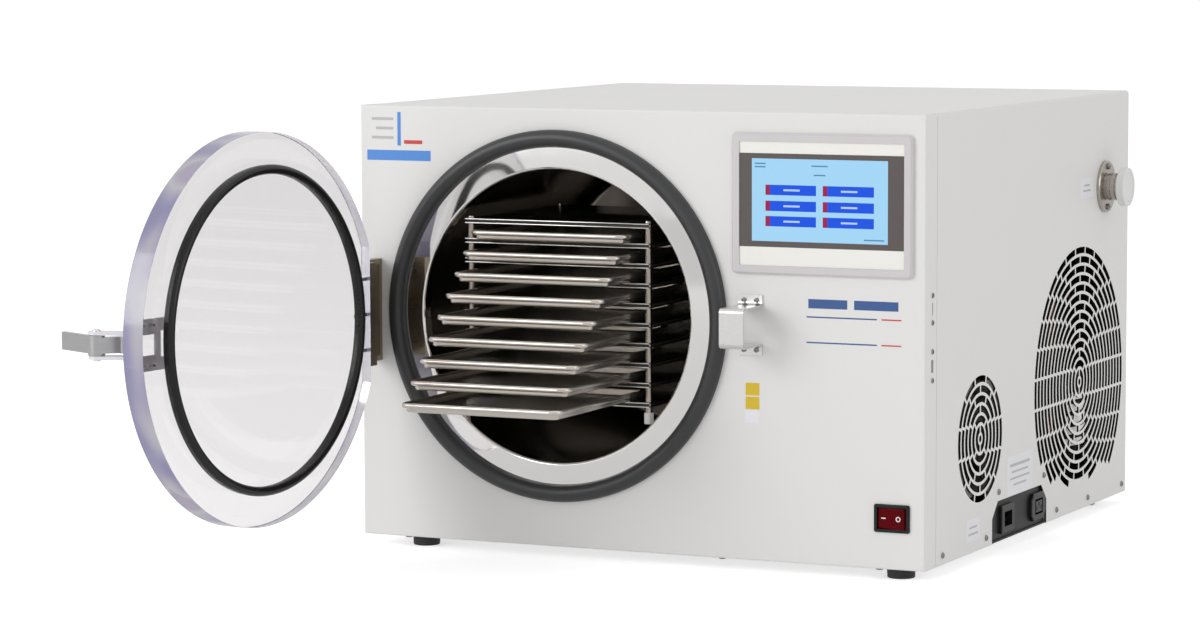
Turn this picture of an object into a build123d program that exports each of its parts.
"""Benchtop freeze dryer: front-loading round chamber, hinged acrylic door, shelf rack with nine trays.

Millimetres, +Z up, front face towards -Y, right side towards +X.
The origin is the centre of the cabinet's footprint, on the surface that the feet stand on.
"""

from build123d import *
import os
from math import cos, radians, sin

os.makedirs("parts", exist_ok=True)

# ---------------------------------------------------------------- driving dimensions
# Cabinet
WIDTH = 650.0
DEPTH = 655.0
HEIGHT = 466.0
FOOT_HEIGHT = 12.0
SHEET = 2.0
FRONT_FLANGE = 31.5
SEAM = 0.6
LAP = 0.3
CORNER_RADIUS = 4.0

# Vacuum chamber
CHAMBER_X = -92.0
CHAMBER_Z = HEIGHT / 2 + 13.0
BORE_RADIUS = 155.5
FLANGE_RADIUS = 179.0
FLANGE_PROUD = 2.0
FLANGE_BACK = 12.0
TRIM_RADIUS = 197.5
TRIM_PROUD = 11.5
SHELL_WALL = 3.0
CHAMBER_DEPTH = 330.0
COIL_TUBE = 5.0
COIL_TURNS = 9
INSULATION = 24.0

# Door
DOOR_RADIUS = 203.0
DOOR_THICKNESS = 25.0
DOOR_STANDOFF = 12.0
CHORD_DISTANCE = 190.0
SEAL_RADIUS = 165.0
SEAL_TUBE = 5.0
SEAL_GROOVE = 1.0
DOOR_ANGLE = 96.0

# Hinge
HINGE_OFFSET = 212.0
HINGE_STANDOFF = 38.0
HINGE_HEIGHT = 110.0
KNUCKLE_RADIUS = 5.5
KNUCKLE_GAP = 0.5
HINGE_PIN_RADIUS = 2.5
PIN_CLEARANCE = 0.05
LEAF_THICKNESS = 9.5
LEAF_RIM = 6.0
LEAF_POCKET = 1.6

# Door latch and keeper
KEEPER_STANDOFF = 52.0
KEEPER_LENGTH = 27.0
KEEPER_LEFT = 119.0
KEEPER_WEB = 42.0
KEEPER_TAB = 11.5
STRAP = 2.0
LATCH_PIVOT_X = 110.0
LATCH_PIVOT_STANDOFF = 70.0
LEVER_HEIGHT = 18.0
LEVER_LENGTH = 62.0
LEVER_THICKNESS = 5.0
LEVER_ANGLE = 110.0
NOSE_RADIUS = 3.0
NOSE_HOOK = 4.0
NOSE_WIDTH = 9.4
NOSE_GAP = 0.6
LOCK_ANGLE = 56.0
HUB_RADIUS = 8.5
EAR_THICKNESS = 3.5
LATCH_PIN_RADIUS = 3.0

# Shelf rack and trays
SHELF_WIDTH = 216.0
SHELF_DEPTH = 232.0
SHELF_THICKNESS = 5.4
SHELF_PITCH = 20.9
SHELF_TOP = CHAMBER_Z + 101.0
SHELVES = 10
RACK_FRONT = 1.0
POST_RADIUS = 4.0
POST_SPACING = 208.0
RACK_FOOT = 12.0
TRAY_WIDTH = 184.0
TRAY_LENGTH = 222.0
TRAY_HEIGHT = 10.0
TRAY_RIM = 3.6
TRAY_SLOPE = 5.0
TRAY_SHEET = 1.2
TRAY_CORNER = 14.0
TRAY_HOME = 10.0
TRAY_FIRST_OUT = 34.0
TRAY_LAST_OUT = 193.0
TRAYS = 9
RUNNING_GAP = 0.4

# Operator panel
HMI_LEFT = 112.0
HMI_BOTTOM = CHAMBER_Z + 53.0
HMI_WIDTH = 200.0
HMI_HEIGHT = HEIGHT - HMI_BOTTOM - 21.0
HMI_PROUD = 5.0
HMI_BORDER = 9.0
HMI_DEPTH = 36.0
SCREEN_WIDTH = HMI_WIDTH - 50.0
SCREEN_HEIGHT = HMI_HEIGHT - 61.0
SCREEN_SHIFT = (-2.0, 4.0)
SCREEN_GLASS = 1.2
SWITCH_LEFT = 270.0
SWITCH_BOTTOM = 38.5
SWITCH_WIDTH = 38.8
SWITCH_HEIGHT = 29.0
ROCKER_TILT = 9.0

# Air grilles on the right side
RING_PITCH = 10.6
SLOT_WIDTH = 7.2
BAR_WIDTH = 3.3
SMALL_GRILLE = (163.0, 118.0)
SMALL_RINGS = 6
BIG_GRILLE = (486.0, 145.0)
BIG_RINGS = 14
REAR_GRILLE = (-110.0, 160.0)
REAR_RINGS = 11
GRILLE_FLOOR = 37.0

# Mains recess in the right side
RECESS_LEFT = 201.0
RECESS_RIGHT = 376.0
RECESS_HEIGHT = 44.5
RECESS_CHAMFER = 17.5
RECESS_DEPTH = 3.0
INLET_AT = 250.0
OUTLET_AT = 349.0

# Vacuum port on the right side
PORT_AT = (570.0, CHAMBER_Z + 114.0)
PORT_PLATE_RADIUS = 29.5
PORT_PLATE = 4.0
STUB_RADIUS = 14.0
PORT_BORE = 12.5
KF_RADIUS = 20.0
KF_THICKNESS = 4.0
PORT_REACH = 27.0
CAP_WALL = 1.6
CAP_GAP = 0.3

# Refrigeration and fans
FAN_SIZE = 119.0
FAN_THICKNESS = 25.0
CONDENSER_WIDTH = 240.0
CONDENSER_FAN = CONDENSER_WIDTH + 4.0
COMPRESSOR_RADIUS = 72.0
COMPRESSOR_HEIGHT = 205.0

# ---------------------------------------------------------------- places worked out from them
FRONT = -DEPTH / 2
BACK = DEPTH / 2
RIGHT = WIDTH / 2
CHAMBER_HEIGHT = FOOT_HEIGHT + CHAMBER_Z
HINGE_X = CHAMBER_X - HINGE_OFFSET
HINGE_Y = FRONT - HINGE_STANDOFF

# The front plane's own x is the object's X, and its y is the height above the cabinet's underside
front = Plane(origin=(0, FRONT, FOOT_HEIGHT), x_dir=(1, 0, 0), z_dir=(0, -1, 0))
chamber = Plane(origin=(CHAMBER_X, FRONT, CHAMBER_HEIGHT), x_dir=(1, 0, 0), z_dir=(0, -1, 0))
rear = Plane(origin=(0, BACK, FOOT_HEIGHT), x_dir=(-1, 0, 0), z_dir=(0, 1, 0))
# The right plane's own x is the depth behind the front face
right = Plane(origin=(RIGHT, FRONT, FOOT_HEIGHT), x_dir=(0, 1, 0), z_dir=(1, 0, 0))
left = Plane(origin=(-RIGHT, FRONT, FOOT_HEIGHT), x_dir=(0, -1, 0), z_dir=(-1, 0, 0))

# The door's frame: x from the hinge axis to the free edge, y up, z outwards, as it stands open
swing = radians(DOOR_ANGLE)
door = Plane(
    origin=(HINGE_X, HINGE_Y, CHAMBER_HEIGHT),
    x_dir=(cos(swing), -sin(swing), 0),
    z_dir=(-sin(swing), -cos(swing), 0),
)
DOOR_INNER = DOOR_STANDOFF - HINGE_STANDOFF
DOOR_OUTER = DOOR_INNER + DOOR_THICKNESS
CHORD_AT = HINGE_OFFSET - CHORD_DISTANCE


def finish(part, name):
    """Label a finished piece and write it."""
    part.label = name
    export_step(part, f"parts/{name}.step")


def at(plane, x, y, z=0.0):
    """The same plane with its origin moved to one of its own points."""
    return Plane(origin=plane.from_local_coords(Vector(x, y, z)), x_dir=plane.x_dir, z_dir=plane.z_dir)


def outward(plane):
    """The axis along which a plane's solids grow."""
    return Axis(plane.origin, plane.z_dir)


def pan_screw(place, head=3.2, rise=1.8, shank=1.5, length=6.0, socket=1.3):
    """A pan-head screw with a hexagon socket, its head on the plane and its shank behind it."""
    with BuildPart() as screw:
        with BuildSketch(place):
            Circle(head)
        extrude(amount=rise)
        fillet(screw.faces().sort_by(outward(place))[-1].edges(), rise / 2)
        with BuildSketch(place.offset(rise)):
            RegularPolygon(socket, 6)
        extrude(amount=-rise / 2, mode=Mode.SUBTRACT)
        with BuildSketch(place):
            Circle(shank)
        extrude(amount=-length)
    return screw.part


def flat_screw(place, head=3.4, sink=1.7, shank=1.8, length=8.0, socket=1.2):
    """A countersunk screw whose head is flush with the plane."""
    with BuildPart() as screw:
        with BuildSketch(place):
            Circle(head)
        with BuildSketch(place.offset(-sink)):
            Circle(shank)
        loft()
        with BuildSketch(place):
            RegularPolygon(socket, 6)
        extrude(amount=-sink / 2, mode=Mode.SUBTRACT)
        with BuildSketch(place.offset(-sink)):
            Circle(shank)
        extrude(amount=-(length - sink))
    return screw.part


def flat_hole(place, bore, depth, head=3.5, sink=1.7):
    """The countersunk hole for a flat screw, as a solid to be taken away."""
    with BuildPart() as hole:
        with BuildSketch(place):
            Circle(head)
        with BuildSketch(place.offset(-sink)):
            Circle(bore)
        loft()
        with BuildSketch(place):
            Circle(bore)
        extrude(amount=-depth)
    return hole.part


def grille_rings(place, rings, keep):
    """Concentric slots: ring k has 2k of them, parted by bars, and keep() drops the unwanted ones."""
    slots = []
    for k in range(1, rings + 1):
        middle = RING_PITCH * k
        with BuildSketch(place) as ring:
            Circle(middle + SLOT_WIDTH / 2)
            Circle(middle - SLOT_WIDTH / 2, mode=Mode.SUBTRACT)
            with PolarLocations(middle, 2 * k, start_angle=90.0 / k):
                Rectangle(RING_PITCH, BAR_WIDTH, mode=Mode.SUBTRACT)
        slots += [face for face in ring.sketch.faces() if keep(face.center())]
    with BuildSketch(place) as eye:
        Circle(SLOT_WIDTH / 2)
    return slots + list(eye.sketch.faces())


def swept_tube(points, bends, radius):
    """A round tube along straight runs joined by tangent arcs."""
    with BuildPart() as tube:
        with BuildLine():
            route = FilletPolyline(*points, radius=bends)
        with BuildSketch(Plane(origin=route @ 0, z_dir=route % 0)):
            Circle(radius)
        sweep()
    return tube.part


# ---------------------------------------------------------------- cabinet: front panel
# A shallow folded pan. Its return flanges show as the strip between the corner and the seam.
SLOT_DEPTH_AT = 19.5
CARD_SLOT = (267.7, 12.6, 2.4)
USB_SLOT = (209.1, 13.2, 5.8)
STRIP_SCREWS = (194.4, 224.0, 253.6, 281.5)
UNDER_SCREWS = (-276.0, 95.0, 271.0)
UNDER_SCREW_DEPTH = 12.0
PANEL_HOLE = (BORE_RADIUS + FLANGE_RADIUS) / 2 + 5.0
HMI_MIDDLE = (HMI_LEFT + HMI_WIDTH / 2, HMI_BOTTOM + HMI_HEIGHT / 2)
SWITCH_MIDDLE = (SWITCH_LEFT + SWITCH_WIDTH / 2, SWITCH_BOTTOM + SWITCH_HEIGHT / 2)
HMI_BODY = (HMI_WIDTH - 12.0, HMI_HEIGHT - 12.0)
SWITCH_BODY = (SWITCH_WIDTH - 5.0, SWITCH_HEIGHT - 3.0)
SCREW_HOLE = 1.7

with BuildPart() as front_panel:
    with Locations((0, FRONT + FRONT_FLANGE / 2, FOOT_HEIGHT + HEIGHT / 2)):
        Box(WIDTH, FRONT_FLANGE, HEIGHT)
    fillet(front_panel.faces().sort_by(Axis.Y)[0].edges(), CORNER_RADIUS / 2)
    with Locations((0, FRONT + SHEET + FRONT_FLANGE / 2, FOOT_HEIGHT + HEIGHT / 2)):
        Box(WIDTH - 2 * SHEET, FRONT_FLANGE, HEIGHT - 2 * SHEET, mode=Mode.SUBTRACT)
    with BuildSketch(chamber):
        Circle(PANEL_HOLE)
    extrude(amount=-2 * SHEET, mode=Mode.SUBTRACT)
    with BuildSketch(at(front, *HMI_MIDDLE)):
        Rectangle(HMI_BODY[0] + LAP, HMI_BODY[1] + LAP)
    extrude(amount=-2 * SHEET, mode=Mode.SUBTRACT)
    with BuildSketch(at(front, *SWITCH_MIDDLE)):
        Rectangle(SWITCH_BODY[0] + LAP, SWITCH_BODY[1] + LAP)
    extrude(amount=-2 * SHEET, mode=Mode.SUBTRACT)
    for height, tall, wide in (CARD_SLOT, USB_SLOT):
        with BuildSketch(at(right, SLOT_DEPTH_AT, height)):
            Rectangle(wide, tall)
        extrude(amount=-2 * SHEET, mode=Mode.SUBTRACT)
    for height in STRIP_SCREWS:
        with BuildSketch(at(right, SLOT_DEPTH_AT, height)):
            Circle(SCREW_HOLE)
        extrude(amount=-2 * SHEET, mode=Mode.SUBTRACT)
    with BuildSketch(Plane.XY.offset(FOOT_HEIGHT)):
        for x in UNDER_SCREWS:
            with Locations((x, FRONT + UNDER_SCREW_DEPTH)):
                Circle(SCREW_HOLE)
    extrude(amount=2 * SHEET, mode=Mode.SUBTRACT)
finish(front_panel.part, "front_panel")

# ---------------------------------------------------------------- cabinet: wrap cover
# One folded sheet: both sides and the top, with the air grilles, the port hole and the mains notch.
COVER_FRONT = FRONT + FRONT_FLANGE + SEAM
COVER_LENGTH = BACK - COVER_FRONT
SIDE_SCREWS = (51.0, 182.0, 410.0, 518.0, 640.0)
SIDE_SCREW_HEIGHT = 10.0
PLATE_SCREWS = ((220.6, 54.2), (366.1, 54.2))
PORT_HOLE = STUB_RADIUS + 1.0
LOW_SCREW_CLEAR = 14.0

recess_outline = [
    (RECESS_LEFT, -1.0),
    (RECESS_LEFT, RECESS_HEIGHT - RECESS_CHAMFER),
    (RECESS_LEFT + RECESS_CHAMFER, RECESS_HEIGHT),
    (RECESS_RIGHT - RECESS_CHAMFER, RECESS_HEIGHT),
    (RECESS_RIGHT, RECESS_HEIGHT - RECESS_CHAMFER),
    (RECESS_RIGHT, -1.0),
]


def above_floor(point):
    """True for a slot that lies clear of the cabinet's lower edge."""
    return point.Z > FOOT_HEIGHT + GRILLE_FLOOR


def clear_of_recess(point):
    """True for a slot clear of the lower edge and of the screw beside the mains recess."""
    near_screw = point.Y < FRONT + PLATE_SCREWS[1][0] + LOW_SCREW_CLEAR
    return above_floor(point) and not (near_screw and point.Z < FOOT_HEIGHT + PLATE_SCREWS[1][1] + 10)


with BuildPart() as wrap_cover:
    with Locations((0, COVER_FRONT + COVER_LENGTH / 2, FOOT_HEIGHT + HEIGHT / 2)):
        Box(WIDTH, COVER_LENGTH, HEIGHT)
    fillet(wrap_cover.faces().sort_by(Axis.Z)[-1].edges().filter_by(Axis.Y), CORNER_RADIUS)
    with Locations((0, COVER_FRONT + COVER_LENGTH / 2, FOOT_HEIGHT + (HEIGHT - SHEET) / 2)):
        Box(WIDTH - 2 * SHEET, COVER_LENGTH, HEIGHT - SHEET, mode=Mode.SUBTRACT)
    with BuildSketch(right):
        with BuildLine():
            Polyline(*recess_outline, close=True)
        make_face()
        for depth, height in ((PORT_AT, PORT_HOLE), *((spot, SCREW_HOLE) for spot in PLATE_SCREWS)):
            with Locations(depth):
                Circle(height)
        for depth in SIDE_SCREWS:
            with Locations((depth, SIDE_SCREW_HEIGHT)):
                Circle(SCREW_HOLE)
    extrude(amount=-2 * SHEET, mode=Mode.SUBTRACT)
    with BuildSketch(left):
        for depth in SIDE_SCREWS:
            with Locations((-depth, SIDE_SCREW_HEIGHT)):
                Circle(SCREW_HOLE)
    extrude(amount=-2 * SHEET, mode=Mode.SUBTRACT)
    small = grille_rings(at(right, *SMALL_GRILLE), SMALL_RINGS, above_floor)
    big = grille_rings(at(right, *BIG_GRILLE), BIG_RINGS, clear_of_recess)
    extrude(small + big, amount=-2 * SHEET, mode=Mode.SUBTRACT)
finish(wrap_cover.part, "wrap_cover")

# ---------------------------------------------------------------- cabinet: rear panel and base pan
REAR_INSET = 1.0
REAR_FLANGE = 16.0
PAN_FLANGE = 26.0
REAR_WIDTH = WIDTH - 2 * SHEET - 2 * LAP
REAR_BOTTOM = FOOT_HEIGHT + SHEET + LAP
REAR_HEIGHT = HEIGHT - 2 * SHEET - 2 * LAP
REAR_FACE = BACK - REAR_INSET
REAR_SCREWS = ((-310.0, 60.0), (-310.0, 400.0), (310.0, 60.0), (310.0, 400.0))

with BuildPart() as rear_panel:
    with Locations((0, REAR_FACE - REAR_FLANGE / 2, REAR_BOTTOM + REAR_HEIGHT / 2)):
        Box(REAR_WIDTH, REAR_FLANGE, REAR_HEIGHT)
    with Locations((0, REAR_FACE - SHEET - REAR_FLANGE / 2, REAR_BOTTOM + REAR_HEIGHT / 2)):
        Box(REAR_WIDTH - 2 * SHEET, REAR_FLANGE, REAR_HEIGHT - 2 * SHEET, mode=Mode.SUBTRACT)
    rear_slots = grille_rings(at(rear, -REAR_GRILLE[0], REAR_GRILLE[1]), REAR_RINGS, above_floor)
    extrude(rear_slots, amount=-2 * SHEET - REAR_INSET, mode=Mode.SUBTRACT)
    with BuildSketch(rear):
        for spot in REAR_SCREWS:
            with Locations(spot):
                Circle(SCREW_HOLE)
    extrude(amount=-2 * SHEET - REAR_INSET, mode=Mode.SUBTRACT)
    for side in (right, left):
        with BuildSketch(side):
            with Locations((SIDE_SCREWS[-1] if side is right else -SIDE_SCREWS[-1], SIDE_SCREW_HEIGHT)):
                Circle(SCREW_HOLE)
        extrude(amount=-3 * SHEET, mode=Mode.SUBTRACT)
finish(rear_panel.part, "rear_panel")

FEET_X = (-264.0, 288.0)
FEET_Y = (FRONT + 30.0, BACK - 45.0)
FOOT_RADIUS = 15.0
FOOT_SCREW = 3.0
PAN_END = BACK - REAR_FLANGE - REAR_INSET - SEAM

with BuildPart() as base_pan:
    with Locations((0, (COVER_FRONT + PAN_END) / 2, FOOT_HEIGHT + PAN_FLANGE / 2)):
        Box(REAR_WIDTH, PAN_END - COVER_FRONT, PAN_FLANGE)
    with Locations((0, (COVER_FRONT + PAN_END) / 2, FOOT_HEIGHT + SHEET + PAN_FLANGE / 2)):
        Box(REAR_WIDTH - 2 * SHEET, PAN_END - COVER_FRONT - 2 * SHEET, PAN_FLANGE, mode=Mode.SUBTRACT)
    with BuildSketch(right):
        with BuildLine():
            Polyline(*recess_outline, close=True)
        make_face()
    extrude(amount=-RECESS_DEPTH - SHEET, mode=Mode.SUBTRACT)
    for side in (right, left):
        with BuildSketch(side):
            for depth in SIDE_SCREWS[:-1]:
                with Locations((depth if side is right else -depth, SIDE_SCREW_HEIGHT)):
                    Circle(SCREW_HOLE)
        extrude(amount=-3 * SHEET, mode=Mode.SUBTRACT)
finish(base_pan.part, "base_pan")

with BuildPart() as feet:
    for x in FEET_X:
        for y in FEET_Y:
            with BuildSketch(Plane(origin=(x, y, FOOT_HEIGHT), z_dir=(0, 0, -1))):
                Circle(FOOT_RADIUS)
            extrude(amount=FOOT_HEIGHT, taper=3)
    fillet(feet.faces().group_by(Axis.Z)[0].edges(), 1.5)
    for x in FEET_X:
        for y in FEET_Y:
            with BuildSketch(Plane.XY.offset(0)):
                with Locations((x, y)):
                    Circle(FOOT_SCREW)
            extrude(amount=FOOT_HEIGHT / 2, mode=Mode.SUBTRACT)
finish(feet.part, "feet")

# ---------------------------------------------------------------- cabinet: screws
with BuildPart() as cabinet_screws:
    for depth in SIDE_SCREWS:
        add(pan_screw(at(right, depth, SIDE_SCREW_HEIGHT)))
        add(pan_screw(at(left, -depth, SIDE_SCREW_HEIGHT)))
    for depth, height in PLATE_SCREWS:
        add(pan_screw(at(right, depth, height)))
    for height in STRIP_SCREWS:
        add(pan_screw(at(right, SLOT_DEPTH_AT, height), head=2.8, rise=1.2))
    for x, height in REAR_SCREWS:
        add(pan_screw(at(rear, x, height, -REAR_INSET)))
    for x in UNDER_SCREWS:
        under = Plane(origin=(x, FRONT + UNDER_SCREW_DEPTH, FOOT_HEIGHT), z_dir=(0, 0, -1))
        add(pan_screw(under, head=4.0, rise=2.6))
finish(cabinet_screws.part, "cabinet_screws")

# ---------------------------------------------------------------- chamber
# A radial half-plane through the chamber's axis: x is the radius, y the depth behind the front face
radial = Plane(origin=chamber.origin, x_dir=(1, 0, 0), z_dir=(0, 0, 1))
chamber_axis = Axis(chamber.origin, (0, 1, 0))
FLANGE_LIP = 7.0

with BuildPart() as chamber_flange:
    with BuildSketch(radial):
        with BuildLine():
            Polyline(
                (BORE_RADIUS, -FLANGE_PROUD),
                (FLANGE_RADIUS, -FLANGE_PROUD),
                (FLANGE_RADIUS, 0),
                (PANEL_HOLE - LAP, 0),
                (PANEL_HOLE - LAP, FLANGE_BACK),
                (BORE_RADIUS, FLANGE_BACK),
                close=True,
            )
        flange_face = make_face()
        corners = flange_face.vertices().group_by(Axis.Y)[0].sort_by(Axis.X)
        fillet(corners[0], FLANGE_LIP)
    revolve(axis=chamber_axis)
finish(chamber_flange.part, "chamber_flange")

TRIM_ROUND = 8.5
with BuildPart() as flange_trim:
    with BuildSketch(radial):
        with Locations((FLANGE_RADIUS + LAP, 0)):
            Rectangle(TRIM_RADIUS - FLANGE_RADIUS - LAP, TRIM_PROUD, align=(Align.MIN, Align.MAX))
        fillet(vertices().group_by(Axis.Y)[0], TRIM_ROUND)
    revolve(axis=chamber_axis)
finish(flange_trim.part, "flange_trim")

SHELL_START = FLANGE_BACK
PIPE_HOLE = 13.0
PIPE_OFFSET = (62.0, PORT_AT[1] - CHAMBER_Z)

SHELL_CORNER = 12.0

with BuildPart() as chamber_shell:
    with BuildSketch(radial):
        with BuildLine():
            Polyline(
                (BORE_RADIUS, SHELL_START),
                (BORE_RADIUS + SHELL_WALL, SHELL_START),
                (BORE_RADIUS + SHELL_WALL, CHAMBER_DEPTH),
                (0, CHAMBER_DEPTH),
                (0, CHAMBER_DEPTH - SHELL_WALL),
                (BORE_RADIUS, CHAMBER_DEPTH - SHELL_WALL),
                close=True,
            )
        make_face()
        fillet(vertices().group_by(Axis.X)[-1].sort_by(Axis.Y)[-1], SHELL_CORNER)
        fillet(vertices().group_by(Axis.Y)[-2].sort_by(Axis.X)[-1], SHELL_CORNER - SHELL_WALL)
    revolve(axis=chamber_axis)
    with BuildSketch(chamber.offset(-SHELL_START)):
        with Locations(PIPE_OFFSET):
            Circle(PIPE_HOLE)
    extrude(amount=-CHAMBER_DEPTH, mode=Mode.SUBTRACT)
finish(chamber_shell.part, "chamber_shell")

COIL_RADIUS = BORE_RADIUS + SHELL_WALL + COIL_TUBE + 0.2
COIL_FIRST = 40.0
COIL_LAST = 300.0
HEADER_ANGLE = -30.0
HEADER_TUBE = 3.8
header_spot = (COIL_RADIUS * cos(radians(HEADER_ANGLE)), COIL_RADIUS * sin(radians(HEADER_ANGLE)))

with BuildPart() as evaporator_coil:
    with BuildSketch(radial):
        for turn in range(COIL_TURNS):
            depth = COIL_FIRST + (COIL_LAST - COIL_FIRST) * turn / (COIL_TURNS - 1)
            with Locations((COIL_RADIUS, depth)):
                Circle(COIL_TUBE)
    revolve(axis=chamber_axis)
    with BuildSketch(at(chamber, *header_spot, -COIL_FIRST)):
        Circle(HEADER_TUBE)
    extrude(amount=-(CHAMBER_DEPTH + 4.0 - COIL_FIRST))
finish(evaporator_coil.part, "evaporator_coil")

FOAM_INNER = BORE_RADIUS + SHELL_WALL + 2 * COIL_TUBE + 0.6
FOAM_START = 14.0
FOAM_END = CHAMBER_DEPTH + 20.0

with BuildPart() as chamber_insulation:
    with BuildSketch(chamber.offset(-FOAM_START)):
        Circle(FOAM_INNER + INSULATION)
    extrude(amount=-(FOAM_END - FOAM_START))
    fillet(chamber_insulation.faces().sort_by(Axis.Y)[-1].edges(), 10.0)
    with BuildSketch(chamber.offset(-FOAM_START)):
        Circle(FOAM_INNER)
    extrude(amount=-(CHAMBER_DEPTH + 4.3 - FOAM_START), mode=Mode.SUBTRACT)
    with BuildSketch(chamber.offset(-CHAMBER_DEPTH)):
        with Locations(PIPE_OFFSET):
            Circle(PIPE_HOLE + 3.0)
        with Locations(header_spot):
            Circle(12.0)
    extrude(amount=-50, mode=Mode.SUBTRACT)
finish(chamber_insulation.part, "chamber_insulation")

# ---------------------------------------------------------------- shelf rack
RACK_MIDDLE = FRONT + RACK_FRONT + SHELF_DEPTH / 2
SHELF_SKIN = 1.5
SHELF_EDGE_GROOVE = 1.6
POST_INSET = 8.0
LOWEST_SHELF = SHELF_TOP - (SHELVES - 1) * SHELF_PITCH
post_spots = [
    (CHAMBER_X + side * POST_SPACING / 2, RACK_MIDDLE + end * (SHELF_DEPTH / 2 - POST_INSET))
    for side in (-1, 1)
    for end in (-1, 1)
]

with BuildPart() as heated_shelves:
    for level in range(SHELVES):
        top = FOOT_HEIGHT + SHELF_TOP - level * SHELF_PITCH
        with Locations((CHAMBER_X, RACK_MIDDLE, top - SHELF_THICKNESS / 2)):
            Box(SHELF_WIDTH, SHELF_DEPTH, SHELF_THICKNESS)
        with BuildSketch(Plane.XY.offset(top - SHELF_THICKNESS + SHELF_SKIN)):
            with Locations((CHAMBER_X, RACK_MIDDLE)):
                Rectangle(SHELF_WIDTH, SHELF_DEPTH)
                Rectangle(
                    SHELF_WIDTH - 2 * SHELF_EDGE_GROOVE,
                    SHELF_DEPTH - 2 * SHELF_EDGE_GROOVE,
                    mode=Mode.SUBTRACT,
                )
        extrude(amount=SHELF_THICKNESS - 2 * SHELF_SKIN, mode=Mode.SUBTRACT)
    with BuildSketch(Plane.XY.offset(FOOT_HEIGHT)):
        with Locations(*post_spots):
            Circle(POST_RADIUS + 0.1)
    extrude(amount=HEIGHT, mode=Mode.SUBTRACT)
finish(heated_shelves.part, "heated_shelves")

POST_BOTTOM = FOOT_HEIGHT + LOWEST_SHELF - SHELF_THICKNESS - 6.0
with BuildPart() as rack_posts:
    with BuildSketch(Plane.XY.offset(POST_BOTTOM)):
        with Locations(*post_spots):
            Circle(POST_RADIUS)
    extrude(amount=FOOT_HEIGHT + SHELF_TOP + 2.5 - POST_BOTTOM)
    fillet(rack_posts.faces().group_by(Axis.Z)[-1].edges(), 1.2)
finish(rack_posts.part, "rack_posts")

FOOT_ACROSS = 5.5
foot_reach = POST_SPACING / 2 + FOOT_ACROSS
rack_foot_bottom = CHAMBER_HEIGHT - (BORE_RADIUS**2 - foot_reach**2) ** 0.5 + LAP
with BuildPart() as rack_feet:
    with BuildSketch(Plane.XY.offset(rack_foot_bottom)):
        with Locations(*post_spots):
            RegularPolygon(FOOT_ACROSS, 6)
    extrude(amount=POST_BOTTOM - rack_foot_bottom)
finish(rack_feet.part, "rack_feet")

# ---------------------------------------------------------------- trays
with BuildPart() as tray_pan:
    with BuildSketch(Plane.XY):
        RectangleRounded(TRAY_WIDTH - 2 * TRAY_SLOPE, TRAY_LENGTH - 2 * TRAY_SLOPE, TRAY_CORNER - TRAY_SLOPE)
    with BuildSketch(Plane.XY.offset(TRAY_HEIGHT - TRAY_RIM / 2)):
        RectangleRounded(TRAY_WIDTH - TRAY_RIM, TRAY_LENGTH - TRAY_RIM, TRAY_CORNER - TRAY_RIM / 2)
    loft()
    with BuildSketch(Plane.XY.offset(TRAY_HEIGHT - TRAY_RIM)):
        RectangleRounded(TRAY_WIDTH, TRAY_LENGTH, TRAY_CORNER)
    extrude(amount=TRAY_RIM)
    rim = tray_pan.faces().filter_by(Plane.XY)
    fillet(rim.sort_by(Axis.Z)[-1].outer_wire().edges(), TRAY_RIM / 2 - 0.1)
    with BuildSketch(Plane.XY.offset(TRAY_SHEET)):
        RectangleRounded(
            TRAY_WIDTH - 2 * TRAY_SLOPE - 2 * TRAY_SHEET,
            TRAY_LENGTH - 2 * TRAY_SLOPE - 2 * TRAY_SHEET,
            TRAY_CORNER - TRAY_SLOPE - TRAY_SHEET,
        )
    with BuildSketch(Plane.XY.offset(TRAY_HEIGHT)):
        RectangleRounded(TRAY_WIDTH - 2 * TRAY_RIM, TRAY_LENGTH - 2 * TRAY_RIM, TRAY_CORNER - TRAY_RIM)
    loft(mode=Mode.SUBTRACT)

for number in range(1, TRAYS + 1):
    pulled = TRAY_FIRST_OUT + (TRAY_LAST_OUT - TRAY_FIRST_OUT) * (number - 1) / (TRAYS - 1)
    tray_middle = FRONT + TRAY_HOME - pulled + TRAY_LENGTH / 2
    shelf = FOOT_HEIGHT + SHELF_TOP - number * SHELF_PITCH
    with BuildPart() as tray:
        with Locations((CHAMBER_X, tray_middle, shelf + RUNNING_GAP)):
            add(tray_pan.part)
    finish(tray.part, f"tray_{number}")

# ---------------------------------------------------------------- operator panel
OVERLAY_WIDTH = HMI_WIDTH - 2 * HMI_BORDER
OVERLAY_HEIGHT = HMI_HEIGHT - 2 * HMI_BORDER
OVERLAY_SINK = 1.4
OVERLAY_THICKNESS = 1.6
hmi = at(front, *HMI_MIDDLE)

with BuildPart() as hmi_bezel:
    with BuildSketch(hmi):
        RectangleRounded(HMI_WIDTH, HMI_HEIGHT, 6.0)
    extrude(amount=HMI_PROUD)
    chamfer(hmi_bezel.faces().sort_by(outward(hmi))[-1].edges(), 2.2)
    with BuildSketch(hmi.offset(HMI_PROUD)):
        RectangleRounded(OVERLAY_WIDTH, OVERLAY_HEIGHT, 2.0)
    extrude(amount=-(OVERLAY_SINK + OVERLAY_THICKNESS), mode=Mode.SUBTRACT)
    with BuildSketch(hmi):
        Rectangle(*HMI_BODY)
    extrude(amount=-HMI_DEPTH)
finish(hmi_bezel.part, "hmi_bezel")

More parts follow.
